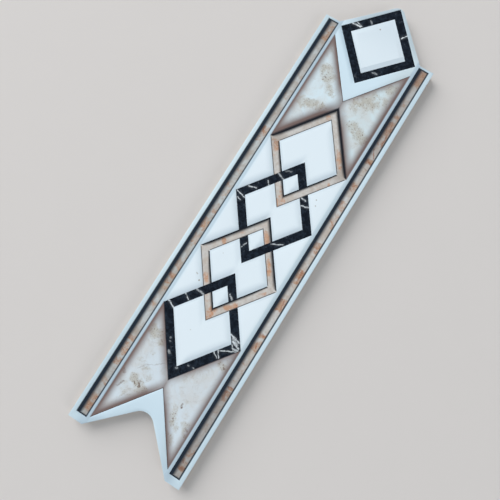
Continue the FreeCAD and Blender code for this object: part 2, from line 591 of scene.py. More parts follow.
def fade(value, start, finish, startValue=0.0, finishValue=1.0):
    made = addNode("MapRange", interpolation_type="SMOOTHSTEP")
    return wire(made, dict(enumerate((value, start, finish, startValue, finishValue))))[0]


def sideways(x, soft, left=0.0, right=1.0):  # from the left of the middle line to the right
    return fade(x, -soft, soft, left, right)


def blend(share, first, second):  # first where share is 0, second where it is 1
    return wire(addNode("Mix", data_type="FLOAT"), {0: share, 2: first, 3: second})[0]


def linear(share):  # from the screen's curve to light
    return share / 12.92 if share <= 0.04045 else ((share + 0.055) / 1.055) ** 2.4


def asColour(colour):
    if isinstance(colour, bpy.types.NodeSocket):
        return colour
    return [linear(value / 255) for value in colour] + [1.0]


def tint(tone, share, colour):  # tone where share is 0, colour where it is 1
    return wire(addNode("Mix", data_type="RGBA"), {0: share, 6: asColour(tone), 7: asColour(colour)})[2]


def noise(spot, scale, detail, roughness, seed=0.0, warp=0.0):
    made = addNode("TexNoise", noise_dimensions="4D")
    return wire(made, {"Vector": spot, "W": seed, "Scale": scale, "Detail": detail,
                       "Roughness": roughness, "Distortion": warp})["Fac"]


def vectorMaths(operation, *values, output=0):
    return wire(addNode("VectorMath", operation=operation), dict(enumerate(values)))[output]


def scaled(vector, amount):
    return wire(addNode("VectorMath", operation="SCALE"), {0: vector, "Scale": amount})[0]


def dot(first, second):
    return vectorMaths("DOT_PRODUCT", first, second, output=1)


def splitPlace(spot):
    made = addNode("SeparateXYZ")
    feed(made.inputs[0], spot)
    return tuple(made.outputs)


def newGroup(name, inputs, outputs, kind="Float"):  # inputs with their values, None for a place
    group = bpy.data.node_groups.new(name, "ShaderNodeTree")
    openTree(group)
    for title, value in inputs.items():
        inputKind = "NodeSocketVector" if value is None else "NodeSocketFloat"
        socket = group.interface.new_socket(title, in_out="INPUT", socket_type=inputKind)
        if value is not None:
            socket.default_value = value
    for title in outputs:
        group.interface.new_socket(title, in_out="OUTPUT", socket_type="NodeSocket" + kind)
    return group, tree.nodes.new("NodeGroupInput").outputs, tree.nodes.new("NodeGroupOutput").inputs


def useGroup(group, **values):
    return wire(addNode("Group", node_tree=group), values)


# slow waves and a fine peel in the glaze, for the bump and the gloss
glazeSizes = {
    "waves": (0.07, 2.0, 0.5, 3.0), "peel": (0.55, 2.0, 0.5, 8.0), "haze": (0.03, 3.0, 0.6, 5.0),  # noises
    "peelShare": 0.12, "hazeShare": 0.06, "bump": 0.05, "bumpDepth": 0.3,
}
glazeFilm, given, result = newGroup("glazeFilm", {"Place": None, "Gloss": 0.1}, ["Height", "Roughness"])
waves, peel, haze = [noise(given["Place"], *glazeSizes[name]) for name in ("waves", "peel", "haze")]
feed(result["Height"], scaledPlus(peel, glazeSizes["peelShare"], waves))
feed(result["Roughness"], scaledPlus(haze, glazeSizes["hazeShare"], given["Gloss"]))

# the printed marble: slow clouds, warm patches that gather where Bias is high, specks in them, and thin veins
marbleSizes = {
    "patchGrain": 1.7, "mottleGrain": 0.35, "speckGrain": 1.0,
    "patchSeed": 11.0, "mottleSeed": 23.0, "veinSeed": 37.0, "veinMiddle": 0.5,
    "patchGain": 1.6, "patchLevel": -0.3, "biasGain": 0.42,
    "cloudFade": (0.35, 0.68), "patchFade": (0.56, 0.98), "mottleFade": (0.4, 0.68),
    "grainFade": (0.55, 0.66), "speckFade": (0.1, 0.8), "veinFade": (0.0, 0.02, 1.0, 0.0),
}
printedMarble, given, result = newGroup(
    "printedMarble", {"Place": None, "Seed": 0.0, "Grain": 0.06, "Bias": 0.0},
    ["Cloud", "Patch", "Speck", "Mottle", "Vein"])
clouds = noise(given["Place"], given["Grain"], detail=4.0, roughness=0.6, seed=given["Seed"], warp=0.6)
feed(result["Cloud"], fade(clouds, *marbleSizes["cloudFade"]))
patchSeed = plus(given["Seed"], marbleSizes["patchSeed"])
patchGrain = times(given["Grain"], marbleSizes["patchGrain"])
patches = noise(given["Place"], patchGrain, detail=7.0, roughness=0.7, seed=patchSeed, warp=1.0)
patches = scaledPlus(patches, marbleSizes["patchGain"], marbleSizes["patchLevel"])
patches = fade(scaledPlus(given["Bias"], marbleSizes["biasGain"], patches), *marbleSizes["patchFade"])
feed(result["Patch"], patches)
mottleSeed = plus(given["Seed"], marbleSizes["mottleSeed"])
mottle = noise(given["Place"], marbleSizes["mottleGrain"], detail=5.0, roughness=0.7,
               seed=mottleSeed, warp=0.4)
feed(result["Mottle"], fade(mottle, *marbleSizes["mottleFade"]))
grains = noise(given["Place"], marbleSizes["speckGrain"], detail=3.0, roughness=0.6, seed=mottleSeed)
inPatches = fade(patches, *marbleSizes["speckFade"])
feed(result["Speck"], times(fade(grains, *marbleSizes["grainFade"]), inPatches))
veinSeed = plus(given["Seed"], marbleSizes["veinSeed"])
veins = noise(given["Place"], given["Grain"], detail=5.0, roughness=0.6, seed=veinSeed, warp=1.5)
veinGap = sizeOf(minus(veins, marbleSizes["veinMiddle"]))
feed(result["Vein"], fade(veinGap, *marbleSizes["veinFade"]))

# level places shifted by noise, so that marks get torn edges
tornPlace, given, result = newGroup(
    "tornPlace", {"Place": None, "Scale": 0.5, "Reach": 1.0}, ["Torn"], "Vector")
shift = wire(addNode("TexNoise"), {"Vector": given["Place"], "Scale": given["Scale"], "Detail": 4.0})["Color"]
shift = scaled(vectorMaths("SUBTRACT", shift, (0.5, 0.5, 0.5)), given["Reach"])  # to both sides
feed(result["Torn"], vectorMaths("MULTIPLY", vectorMaths("ADD", given["Place"], shift), (1, 1, 0)))  # level

# one mark of the print, from Start to Finish, laid over the marks before it
markSizes = {"core": 0.15, "edge": 0.62, "haze": 0.6, "hazeRun": 2.0}  # shares of its width, and millimetres
printMark, given, result = newGroup(
    "printMark", {"Place": None, "Start": None, "Finish": None, "Width": 1.0,
                  "Strength": 1.0, "Haze": 0.0, "Before": 0.0}, ["Mask"])
span = vectorMaths("SUBTRACT", given["Finish"], given["Start"])
offset = vectorMaths("SUBTRACT", given["Place"], given["Start"])
reach = maths("DIVIDE", dot(offset, span), dot(span, span), clamp=True)
gap = vectorMaths("LENGTH", vectorMaths("SUBTRACT", offset, scaled(span, reach)), output=1)
core, edge = times(given["Width"], markSizes["core"]), times(given["Width"], markSizes["edge"])
hazeEnd = scaledPlus(given["Width"], markSizes["haze"], markSizes["hazeRun"])
mark = most(fade(gap, core, edge, 1.0, 0.0), fade(gap, 0.0, hazeEnd, given["Haze"], 0.0))
feed(result["Mask"], most(times(mark, given["Strength"]), given["Before"]))


def torn(spot, tear):
    scale, reach = tear
    return useGroup(tornPlace, Place=spot, Scale=scale, Reach=reach)["Torn"]


def printMarks(spot, tear, marks, haze=0.0):
    tornSpot = torn(spot, tear)
    mask = 0.0
    for x, along, toX, toAlong, width, strength in marks:
        mask = useGroup(printMark, Place=tornSpot, Start=(x, along, 0), Finish=(toX, toAlong, 0),
                        Width=width, Strength=strength, Haze=haze, Before=mask)["Mask"]
    return mask


def addMarble(tone, marble, sizes):  # patches, specks, veins and mottle on a ground
    tone = tint(tone, marble["Patch"], sizes["patch"])
    tone = tint(tone, times(marble["Speck"], sizes["specks"]), sizes["deep"])
    veins = times(marble["Vein"], scaledPlus(marble["Patch"], sizes["patchVeins"], sizes["veins"]))
    tone = tint(tone, veins, sizes["deep"])
    return tint(tone, times(marble["Mottle"], sizes["mottles"]), sizes["mottle"])


def newFinish(index):
    finish = bpy.data.materials.new(finishNames[index])
    finish.use_nodes = True
    openTree(finish.node_tree)
    tree.nodes.clear()
    shader = addNode("BsdfPrincipled")
    tree.links.new(shader.outputs[0], addNode("OutputMaterial").inputs["Surface"])
    spot = wire(addNode("Mapping"), {
        "Vector": addNode("TexCoord").outputs["Object"],
        "Location": (0, -lowCorner.y / mm, 0),  # along starts at the notched end
        "Scale": (1 / mm, 1 / mm, 1 / mm),
    })[0]
    tile.data.materials[index] = finish
    return shader, spot


def addBump(shader, height, strength, depth):
    bump = wire(addNode("Bump"), {"Strength": strength, "Distance": depth * mm, "Height": height})
    feed(shader.inputs["Normal"], bump[0])


def glaze(shader, spot, tone, gloss):
    film = useGroup(glazeFilm, Place=spot, Gloss=gloss)
    wire(shader, {"Base Color": tone, "Roughness": film["Roughness"]})
    addBump(shader, film["Height"], glazeSizes["bump"], glazeSizes["bumpDepth"])


def slantPlace(x, along, item, end):  # place square to a frame's lower (end 1) or upper (end -1) right arm
    level = minus(along, item["middle"])
    return scaledPlus(x, item["lean"][0], times(level, -end * item["lean"][1]))


def rhombusPlace(aside, level, item):  # 0 in the middle of a frame, 1 on its outer edge
    return plus(maths("DIVIDE", aside, item["outerWidth"]), maths("DIVIDE", level, item["outerLength"]))


def stripPlace(x):  # place across a strip, from its left edge
    return maths("MODULO", plus(x, stripOuter), stripOuter + stripInner)


# black marble: near black, with white streaks where the print has them
blackSizes = {
    "colour": (9, 17, 28), "haze": (48, 60, 74), "vein": (226, 233, 238),
    "seed": 4.0, "grain": 0.09, "mottles": 0.45, "bloom": 0.6, "hairs": 0.35,
    "gloss": 0.08,
    "tear": (0.5, 1.6), "wisp": 0.06, "breaks": (0.9, 3.0, 0.6, 2.0), "breakFade": (0.3, 0.55),
    "streaks": [
        (-27.5, 382.4, -20.5, 382.8, 1.6, 0.9), (-25.5, 385.2, -19.5, 383.4, 1, 0.8),
        (-16, 391.4, -13.8, 389.6, 1.8, 0.35), (12.6, 390.4, 16.4, 395.6, 1, 0.9),
        (7.6, 353.4, 11.4, 354, 1.8, 0.4), (-12.8, 242.4, -7, 240, 1.6, 0.5),
        (-9, 247, -5, 249, 1.6, 0.3), (-17.2, 233.2, -14.4, 230, 1, 0.7),
        (-28, 221.2, -22, 223.2, 1.2, 0.85), (-33.6, 213.8, -26, 211.8, 1.2, 0.85),
        (-30.8, 209.4, -27.6, 208.4, 1, 0.7), (12.2, 235, 16.6, 234.4, 1.4, 0.8),
        (16, 229.4, 21, 231, 1.3, 0.8), (-7, 176.8, -5.2, 182, 1, 0.6),
        (11.6, 191.2, 19.8, 195.6, 1, 0.75), (-19.6, 131.2, -12, 130.6, 1.8, 0.5),
        (-24.6, 124, -19.6, 121, 0.8, 0.8), (-33, 112.8, -25.4, 109.4, 1.3, 0.8),
        (5.4, 141.2, 9.6, 138, 1.6, 0.55), (22.6, 116, 31, 113.8, 1.6, 0.85),
        (26.6, 112, 32.4, 110, 2.2, 0.9), (25, 114.4, 30.5, 111.4, 2.6, 0.55),
        (29, 107.4, 33.4, 108.2, 1.6, 0.8), (27, 109.6, 31, 105.6, 1.2, 0.7),
        (20.6, 100.8, 32.6, 106.8, 0.9, 0.85), (20.4, 100.6, 23.8, 95.8, 0.9, 0.8),
        (17.6, 98.4, 22.4, 95.2, 0.9, 0.75), (-15.8, 89.6, -15.2, 89.2, 1.6, 0.3),
        (-14.8, 87.2, -14.2, 86.8, 1.6, 0.3), (-11.4, 80.2, -10.2, 79.2, 2.2, 0.4),
        (7, 79, 7.6, 79, 1.4, 0.35), (11.2, 79.4, 11.6, 79.4, 1.4, 0.35),
        (0.2, 72.8, 0.8, 72.8, 2, 0.35),
    ],
}
shader, spot = newFinish(black)
marble = useGroup(printedMarble, Place=spot, Seed=blackSizes["seed"], Grain=blackSizes["grain"])
bloom = scaledPlus(marble["Mottle"], blackSizes["mottles"], times(marble["Patch"], blackSizes["bloom"]))
tone = tint(blackSizes["colour"], bloom, blackSizes["haze"])
tone = tint(tone, times(marble["Vein"], marble["Patch"], blackSizes["hairs"]), blackSizes["vein"])
streaks = printMarks(spot, blackSizes["tear"], blackSizes["streaks"], blackSizes["wisp"])
broken = fade(noise(spot, *blackSizes["breaks"]), *blackSizes["breakFade"])
tone = tint(tone, times(streaks, broken), blackSizes["vein"])
glaze(shader, spot, tone, blackSizes["gloss"])

# cream marble of the other diamonds: beige with peach patches and a dark line along each arm
creamSizes = {
    "colour": (195, 186, 177), "light": (208, 206, 203), "patch": (200, 160, 133), "deep": (182, 116, 82),
    "mottle": (158, 142, 130), "line": (22, 28, 37), "cornerShade": (128, 116, 106),
    "seed": 1.0, "grain": 0.12, "specks": 0.8, "patchVeins": 0.6, "veins": 0.08, "mottles": 0.3,
    "gloss": 0.09, "armFade": 0.8,
    "upperLine": 3.6, "innerLine": 2.8, "lineCore": 0.2,  # on the upper side of an arm, outside and inside
    "cornerLine": 1.8, "cornerRun": 7.0,                  # narrower towards the corners beside the strips
    "lowerLine": (0.35, 0.9, 0.85, 0.0),
    "cornerFade": (0.0, 10.5, 0.35, 0.0), "cornerFrom": (200.0, 230.0),  # on the upper diamond alone
    "tear": (0.2, 3.0),
    "patches": [
        (-29.5, 264, -25.5, 259, 7, 0.8), (-4, 303, -1, 300, 5, 0.6), (18, 283, 26, 271, 5, 0.65),
        (0, 230, 0.5, 221, 9, 0.6), (-5, 234, -2, 229, 5, 0.5), (24.6, 256.5, 26, 255, 2.4, 0.7),
        (3.5, 197, 8, 190.5, 5, 0.85), (17, 179, 23, 170.5, 4, 0.9), (-22, 175, -19, 172.5, 4, 0.9),
        (-13, 187, -9, 190, 4, 0.4), (-19, 144.5, -15, 140, 5, 0.9), (0, 124, 0.5, 117, 9, 1),
        (8, 130.5, 14, 136.5, 5, 1), (24, 152, 28, 156, 3, 0.5), (-10, 131, -5, 125, 4, 0.4),
    ],
}
creamFirst = diamonds[1]
creamPitch = 2 * faceLayout["diamondPitch"]
shader, spot = newFinish(cream)
x, along, height = splitPlace(spot)
aside = sizeOf(x)
rise = maths("WRAP", minus(along, creamFirst["middle"]), creamPitch / 2, -creamPitch / 2)
level = sizeOf(rise)
fromOuter = times(rest(rhombusPlace(aside, level, creamFirst)), creamFirst["reach"])
fromInner = minus(faceLayout["bandWidth"], fromOuter)
upperArm = fade(rise, -creamSizes["armFade"], creamSizes["armFade"])
fromUpper = blend(upperArm, fromInner, fromOuter)
fromLower = minus(faceLayout["bandWidth"], fromUpper)
cornerGap = minus(blend(upperArm, creamFirst["innerWidth"], creamFirst["outerWidth"]), aside)
lineWidth = blend(upperArm, creamSizes["innerLine"], creamSizes["upperLine"])
lineWidth = fade(cornerGap, 0.0, creamSizes["cornerRun"], creamSizes["cornerLine"], lineWidth)
patches = printMarks(spot, creamSizes["tear"], creamSizes["patches"])
marble = useGroup(printedMarble, Place=spot, Seed=creamSizes["seed"], Grain=creamSizes["grain"], Bias=patches)
tone = tint(creamSizes["light"], marble["Cloud"], creamSizes["colour"])
tone = addMarble(tone, marble, creamSizes)
inCorner = times(fade(level, *creamSizes["cornerFade"]), fade(along, *creamSizes["cornerFrom"]))
tone = tint(tone, inCorner, creamSizes["cornerShade"])
upperLine = fade(fromUpper, times(lineWidth, creamSizes["lineCore"]), lineWidth, 1.0, 0.0)
tone = tint(tone, most(upperLine, fade(fromLower, *creamSizes["lowerLine"])), creamSizes["line"])
glaze(shader, spot, tone, creamSizes["gloss"])

# strip marble: beige and peach, in deep shade along the left and at both ends
stripSizes = {
    "colour": (175, 168, 160), "light": (195, 201, 202),
    "rightColour": (192, 182, 172), "rightLight": (204, 205, 204),
    "patch": (186, 154, 130), "deep": (160, 104, 76), "mottle": (146, 128, 116), "rust": (152, 100, 72),
    "endShade": (96, 92, 92), "line": (34, 43, 54),
    "seed": 6.0, "grain": 0.1, "specks": 0.9, "patchVeins": 0.6, "veins": 0.1, "mottles": 0.25, "gloss": 0.09,
    "patchTear": (0.2, 6.0), "patchFade": 1.2,
    "leftLine": (1.9, 5.2, 1.0, 0.0), "rightLine": (0.3, 1.3, 1.0, 0.0), "endLine": (0.6, 1.9, 1.0, 0.0),
    # from along, to along, and the shade at each: near the point, then near the notch
    "leftShades": ((320, 372, 0.0, 0.18), (20, 75, 0.22, 0.0)),
    "rightShades": ((240, 320, 0.0, 0.3), (70, 125, 0.42, 0.0)),
    # from along, to along, strength
    "leftPatches": [
        (371, 357, 0.8), (321, 319, 0.4), (304, 298, 0.5), (270, 257, 0.65), (249, 245, 0.4),
        (229, 225, 0.4), (215, 207, 0.55), (196, 189, 0.5), (182, 173, 0.7), (168, 161, 0.5),
        (147, 136, 0.55), (132, 129, 0.9), (125, 122, 0.8), (119, 117, 0.5), (109, 102, 0.4),
        (76, 72, 0.9), (69, 61, 0.7), (56, 50, 0.7), (38, 30, 0.5), (24, 11, 0.75),
    ],
    "rightPatches": [
        (377, 361, 1), (347, 342, 0.4), (333, 329, 0.85), (326, 304, 0.8), (289, 286, 0.85),
        (267, 261, 0.75), (250, 242, 0.5), (239, 225, 0.4), (212, 206, 0.75), (204, 198, 0.45),
        (187, 174, 0.85), (160, 150, 0.9), (129, 126, 1), (122, 115, 0.75), (108, 96, 0.45), (83, 81, 1),
        (79, 72, 0.85), (61, 60, 0.5), (53, 50, 0.2), (29, 25, 0.5), (20, 18, 0.8), (15.5, 13, 1),
    ],
    "rustTear": (0.45, 3.0), "rustBreaks": (0.8, 3.0, 0.6, 5.0), "rustFade": (0.35, 0.6, 0.45, 1.0),
    "rustMarks": [
        (41.6, 334, 44.4, 331, 1.2, 0.6), (42.6, 326, 44.6, 317, 1.6, 0.5),
        (44.2, 312, 45, 303, 1.8, 0.7), (41, 298.5, 45, 291.5, 1.1, 0.85),
        (40.5, 288.4, 45.2, 286.4, 1.9, 0.8), (41.5, 281, 44.6, 280.8, 1, 0.4),
        (41, 274.6, 44.8, 275.2, 1, 0.5), (42, 264, 44.6, 266.6, 1.1, 0.6),
        (41.4, 260.6, 43.6, 260.2, 1.2, 0.6), (42.8, 208, 44.8, 204, 1.4, 0.4),
        (43.2, 186, 44.2, 176, 1.6, 0.7), (41.8, 172.6, 43.2, 171.6, 1, 0.5),
        (43.6, 158, 44.4, 150, 1.5, 0.7), (43.2, 128.6, 44, 127.6, 1.9, 0.85),
        (42.4, 122, 43.8, 117, 1.2, 0.5), (41.2, 82, 44.4, 82.9, 1.3, 0.9),
        (41.6, 79, 42.4, 71.4, 2.2, 0.7), (43.7, 61.6, 44, 61.4, 1, 0.6),
        (41.2, 19.6, 42.3, 18.6, 1.6, 0.8), (42.6, 13.4, 44.8, 14.8, 2.6, 0.95),
        (-43.4, 131.6, -40.6, 128, 1.6, 0.7), (-41.6, 124.6, -40.4, 123.4, 1.2, 0.6),
        (-40.4, 117.8, -39.6, 116.8, 1, 0.5), (-42.6, 268.6, -41.4, 264.6, 1.2, 0.45),
        (-40.8, 73.8, -40, 73.2, 1.8, 0.5), (-40.6, 16.6, -40.2, 16, 1.8, 0.5),
    ],
}


def lengthwise(along, lengths):  # strength of the patches along one strip
    made = addNode("FloatCurve")
    curve = made.mapping.curves[0]
    curve.points[1].location = (1.0, 0.0)
    soft = stripSizes["patchFade"]
    for high, low, strength in lengths:
        for step, value in ((low - soft, 0.0), (low, strength), (high, strength), (high + soft, 0.0)):
            curve.points.new(step / bodyLength, value).handle_type = "VECTOR"
    made.mapping.update()
    return wire(made, {"Value": maths("DIVIDE", along, bodyLength)})[0]


shader, spot = newFinish(strip)
x, along, height = splitPlace(spot)
tornAlong = splitPlace(torn(spot, stripSizes["patchTear"]))[1]
onRight = maths("GREATER_THAN", x, 0.0)
patches, shade = [], []
for side in ("left", "right"):
    patches.append(lengthwise(tornAlong, stripSizes[side + "Patches"]))
    shade.append(most(*[fade(along, *limits) for limits in stripSizes[side + "Shades"]]))
marble = useGroup(printedMarble, Place=spot, Seed=stripSizes["seed"], Grain=stripSizes["grain"],
                  Bias=blend(onRight, *patches))
leftTone = tint(stripSizes["light"], marble["Cloud"], stripSizes["colour"])
rightTone = tint(stripSizes["rightLight"], marble["Cloud"], stripSizes["rightColour"])
tone = addMarble(tint(leftTone, onRight, rightTone), marble, stripSizes)
rust = printMarks(spot, stripSizes["rustTear"], stripSizes["rustMarks"])
broken = fade(noise(spot, *stripSizes["rustBreaks"]), *stripSizes["rustFade"])
tone = tint(tone, times(rust, broken), stripSizes["rust"])
tone = tint(tone, blend(onRight, *shade), stripSizes["endShade"])
fromLeft = stripPlace(x)
fromEnd = maths("MINIMUM", minus(along, stripLow), minus(stripHigh, along))
lines = most(fade(fromLeft, *stripSizes["leftLine"]),
             fade(minus(faceLayout["stripWidth"], fromLeft), *stripSizes["rightLine"]),
             fade(fromEnd, *stripSizes["endLine"]))
tone = tint(tone, lines, stripSizes["line"])
glaze(shader, spot, tone, stripSizes["gloss"])

# wing marble: pale with beige clouds and brown specks, a brown shade and a thin dark line round the edge
wingSizes = {
    "colour": (216, 233, 241), "rightColour": (210, 226, 232), "lowerColour": (212, 223, 231),
    "cloud": (205, 203, 200), "patch": (180, 173, 158), "speck": (106, 82, 64),
    "shade": (122, 104, 100), "line": (70, 58, 58),
    "seed": 2.0, "grain": 0.06, "clouds": 0.6, "patches": 0.65, "specks": 0.85, "veins": 0.16,
    "rightFade": (2.0, 14.0), "sideFade": 6.0, "gloss": 0.09,
    "shadeStart": -3.0, "shadeRun": 6.5, "diamondRun": 8.0, "shadeDepth": 1.3,
    "neckFade": (0.05, 0.35, 0.66, 1.0),
    # how much deeper the shade goes on each wing: upper left and right, lower left and right
    "fieldDeeper": ((1.3, 0.0), (1.6, 0.7)),
    "diamondDeeper": ((2.2, 0.0), (-0.4, -0.9)),
    "sideDeeper": ((0.7, 1.1), (0.9, 0.2)),
    "fieldLine": (0.2, 0.8, 0.9, 0.0),
    "lineCore": 0.2, "upperLine": 1.3, "lowerLine": 0.8, "leftLine": 0.5, "lineDepth": 0.85,  # by the diamond
    "patchTear": (0.12, 6.0),
    "patchMarks": [
        (-25, 336, -21, 332, 15, 0.9), (-16, 325, -12, 320, 10, 0.7), (-28, 303, -13, 306, 12, 0.95),
        (-31, 344, -30, 352, 10, 0.5), (10, 322, 26, 336, 18, 0.72), (24, 344, 29, 349, 10, 0.7),
        (18, 305, 29, 300, 14, 0.9), (-31, 88, -20, 84, 11, 1), (-25.5, 78, -24, 74, 10, 0.35),
        (-22, 50, -13, 46, 12, 1), (-30, 44, -24, 40, 12, 0.5), (-24, 62, -14, 58, 14, 0.4),
        (10, 62, 20, 82, 16, 0.2), (28, 93, 32, 91, 9, 0.9), (8, 50, 12, 44, 16, 0.4),
        (17, 42, 22, 37, 11, 0.65), (28, 42, 33, 36, 10, 0.65), (22, 28, 26, 25, 9, 0.7),
    ],
    "spotTear": (0.6, 2.4), "spotFade": (0.0, 0.5, 0.4, 1.0),
    "spotMarks": [
        (-23.2, 330.6, -22.2, 330, 1.6, 0.9), (-26.6, 331.4, -26.4, 331.2, 1.2, 0.8),
        (12.6, 308.4, 13, 307.8, 1.4, 0.8), (-9, 71, -14, 66.4, 0.9, 0.3),
        (-14, 66.4, -20, 63, 0.9, 0.3), (-20, 63, -24.4, 57, 0.9, 0.3), (-33.6, 51, -31.6, 49.4, 3, 0.8),
        (-19, 49, -15.6, 46.6, 1.8, 0.8), (-17.6, 50.2, -16.6, 46, 1.4, 0.8),
        (-21.4, 47.4, -19.8, 46.2, 1.6, 0.7), (-28.4, 43.6, -30.6, 38, 1.6, 0.6),
        (18.8, 53.4, 19.6, 50.4, 1.8, 0.85), (18.4, 41, 19.4, 39.4, 1.6, 0.7),
        (30.6, 40, 32.6, 38.2, 1.6, 0.7), (30.4, 92.2, 32, 91.4, 1.4, 0.7),
    ],
}
shader, spot = newFinish(wing)
x, along, height = splitPlace(spot)
share = maths("DIVIDE", sizeOf(x), wingHalf)
beyond = minus(sizeOf(minus(along, rowMiddle)), rowHigh - rowMiddle)
lower = maths("LESS_THAN", along, rowMiddle)
neck = blend(lower, faceLayout["upperWingNeck"], faceLayout["lowerWingNeck"])
fieldEdge = scaledPlus(share, blend(lower, upperWingRun, lowerWingRun), neck)
fromField = times(minus(fieldEdge, beyond), wingHalf / hypot(wingHalf, upperWingRun))
diamondRun = diamonds[0]["outerLength"]
fromDiamond = times(scaledPlus(share, diamondRun, beyond), wingHalf / hypot(wingHalf, diamondRun))
fromSide = times(rest(share), wingHalf)
patches = printMarks(spot, wingSizes["patchTear"], wingSizes["patchMarks"])
marble = useGroup(printedMarble, Place=spot, Seed=wingSizes["seed"], Grain=wingSizes["grain"], Bias=patches)
tone = tint(wingSizes["colour"], fade(x, *wingSizes["rightFade"]), wingSizes["rightColour"])
tone = tint(tone, lower, wingSizes["lowerColour"])
tone = tint(tone, times(marble["Cloud"], wingSizes["clouds"]), wingSizes["cloud"])
tone = tint(tone, times(marble["Patch"], wingSizes["patches"]), wingSizes["patch"])
tone = tint(tone, times(marble["Speck"], wingSizes["specks"]), wingSizes["speck"])
tone = tint(tone, times(marble["Vein"], marble["Cloud"], wingSizes["veins"]), wingSizes["speck"])
spots = printMarks(spot, wingSizes["spotTear"], wingSizes["spotMarks"])
tone = tint(tone, times(spots, fade(marble["Mottle"], *wingSizes["spotFade"])), wingSizes["speck"])
neckFade = fade(share, *wingSizes["neckFade"])
edgeShades = (  # edge, share of the shade, its run and how much deeper it goes
    (fromField, neckFade, wingSizes["shadeRun"], wingSizes["fieldDeeper"]),
    (fromDiamond, neckFade, wingSizes["diamondRun"], wingSizes["diamondDeeper"]),
    (fromSide, 1.0, wingSizes["shadeRun"], wingSizes["sideDeeper"]),
)
clear = 1.0  # light left by the shade of each edge in turn, so that corners go dark
for gap, depth, run, deeper in edgeShades:
    upperPair, lowerPair = [sideways(x, wingSizes["sideFade"], *pair) for pair in deeper]
    gap = minus(gap, blend(lower, upperPair, lowerPair))
    shaded = fade(gap, wingSizes["shadeStart"], run, wingSizes["shadeDepth"], 0.0)
    clear = times(clear, maths("SUBTRACT", 1.0, times(shaded, depth), clamp=True))
tone = tint(tone, rest(clear), wingSizes["shade"])
tone = tint(tone, fade(fromField, *wingSizes["fieldLine"]), wingSizes["line"])
upperLeft = times(rest(lower), fade(x, -wingSizes["sideFade"], 0.0, 1.0, 0.0))
lineWidth = blend(lower, wingSizes["upperLine"], wingSizes["lowerLine"])
lineWidth = scaledPlus(upperLeft, wingSizes["leftLine"], lineWidth)
diamondLine = fade(fromDiamond, wingSizes["lineCore"], lineWidth, wingSizes["lineDepth"], 0.0)
tone = tint(tone, diamondLine, creamSizes["line"])
glaze(shader, spot, tone, wingSizes["gloss"])

# white glaze: a clean cool white, deeper beside the frames where it pools, with painted shade there too, most
# of all on their left, and painted shade on the rims, the margins and towards the ends
whiteSizes = {
    # pooled glaze and painted shade share one darker tone
    "colour": (228, 239, 246), "poolAndShade": (198, 212, 222), "poolAndShadeRun": 2.6, "poolAndShadeDepth": 0.6,
    "cornerPoolAndShade": (0.0, 5.0, 0.35, 1.0),                         # less in the corners on the middle line
    "shadeRun": 6.8, "lowerShade": 0.92, "upperShade": 0.5,      # on the left of a lower and an upper arm
    "halfFade": 4.0, "cornerFade": 1.5,
    "endSoft": (1.0, 3.0), "bevelSoft": (0.3, 0.1), "innerRimSoft": (0.8, 0.6),  # before and past a line
    "squareShade": 0.75, "squareFade": (0.9, 0.95),
    "pointShade": (362.0, 398.0, 0.15, 0.45),                    # painted shade: the square is darker towards the point
    # painted shade: the rims and the fields at the ends are a darker, cooler white, the V field darker still
    # on its right
    "field": (211, 230, 241), "shadedField": (204, 220, 227), "fieldFade": (14.0, 30.0),
    "rimFade": 3.0,
    "legShade": (186, 206, 219), "legRun": 4.5,                  # on the left of the square's lower arm
    "notchShades": ((15.0, 70.0, 0.35, 0.0), (4.0, 24.0, 0.9, 0.0)),  # and towards the notched end
    # painted shade on the rims towards the point
    "pointRimShade": (168, 180, 187), "pointRimFade": (376.0, 392.0, 0.0, 0.55),
    "innerRimShade": (182, 201, 214), "innerRimFade": (70.0, 135.25, 0.6, 1.0),  # painted shade beside the strips; the fade is from the middle of the row
    # painted shade: the margins are darker than the panels, and darker still towards both ends
    "leftMarginShade": (213, 230, 238), "rightMarginShade": (208, 226, 236), "sideFade": 1.0,
    "marginEndShade": (186, 206, 217), "marginFade": (50.0, 150.0, 0.0, 0.6), "rightMarginEndShade": 0.6,
    "tipFoot": 0.3, "tipEnd": (0.9, 0.4), "tipCorner": (0.98, 1.0, 1.0, 0.0),  # the square's cut corner
    "lineSpill": 0.7, "lineCore": 0.1,                           # the print runs past the strips' relief
    "spillBefore": 0.8, "spillPast": (0.6, 0.85),
    "brown": (112, 96, 94), "wingSpill": 0.8, "wingSpillDepth": 0.7,
    "gloss": 0.07,
    "speck": (150, 140, 128), "tear": (0.9, 0.8),
    "specks": [
        (23.5, 239.4, 23.6, 239.3, 1, 0.7), (25.3, 235, 25.5, 234.8, 1.2, 0.5),
        (-24.6, 141.5, -25.4, 141.9, 1.4, 0.5), (-20.9, 137.8, -20.7, 138, 1.4, 0.9),
        (-5.6, 388.4, -5.4, 388.3, 1.3, 1), (-16.4, 165.6, -16.3, 165.5, 0.8, 0.5),
        (-6, 102.6, -5.9, 102.5, 0.9, 0.4),
    ],
}
shader, spot = newFinish(white)
x, along, height = splitPlace(spot)
aside = sizeOf(x)
fromRow = sizeOf(minus(along, rowMiddle))
inSquare = rhombusPlace(aside, sizeOf(minus(along, square["middle"])), square)
before, past = whiteSizes["endSoft"]
ends = most(fade(along, rowHigh - before, rowHigh + past),
            fade(along, rowLow - past, rowLow + before, 1.0, 0.0))
offSquare = fade(inSquare, *whiteSizes["squareFade"])
onRim = most(times(ends, offSquare), fade(aside, wingHalf - whiteSizes["rimFade"], stripInner))
leftHalf = fade(x, -whiteSizes["halfFade"], 0.0, 1.0, 0.0)
innerWidth = diamonds[0]["innerWidth"]
rightHalf = times(fade(x, 0.0, whiteSizes["halfFade"]),
                  fade(x, innerWidth, innerWidth + whiteSizes["cornerFade"], 1.0, 0.0))
armInner = diamonds[0]["reach"] - faceLayout["bandWidth"]
armStep = faceLayout["diamondPitch"] * diamonds[0]["lean"][1]
armShades = ((diamonds[0], 1, whiteSizes["lowerShade"]), (diamonds[-1], -1, whiteSizes["upperShade"]))
shade = 0.0  # the white on the left of each arm in the row: outside the left halves, inside the right ones
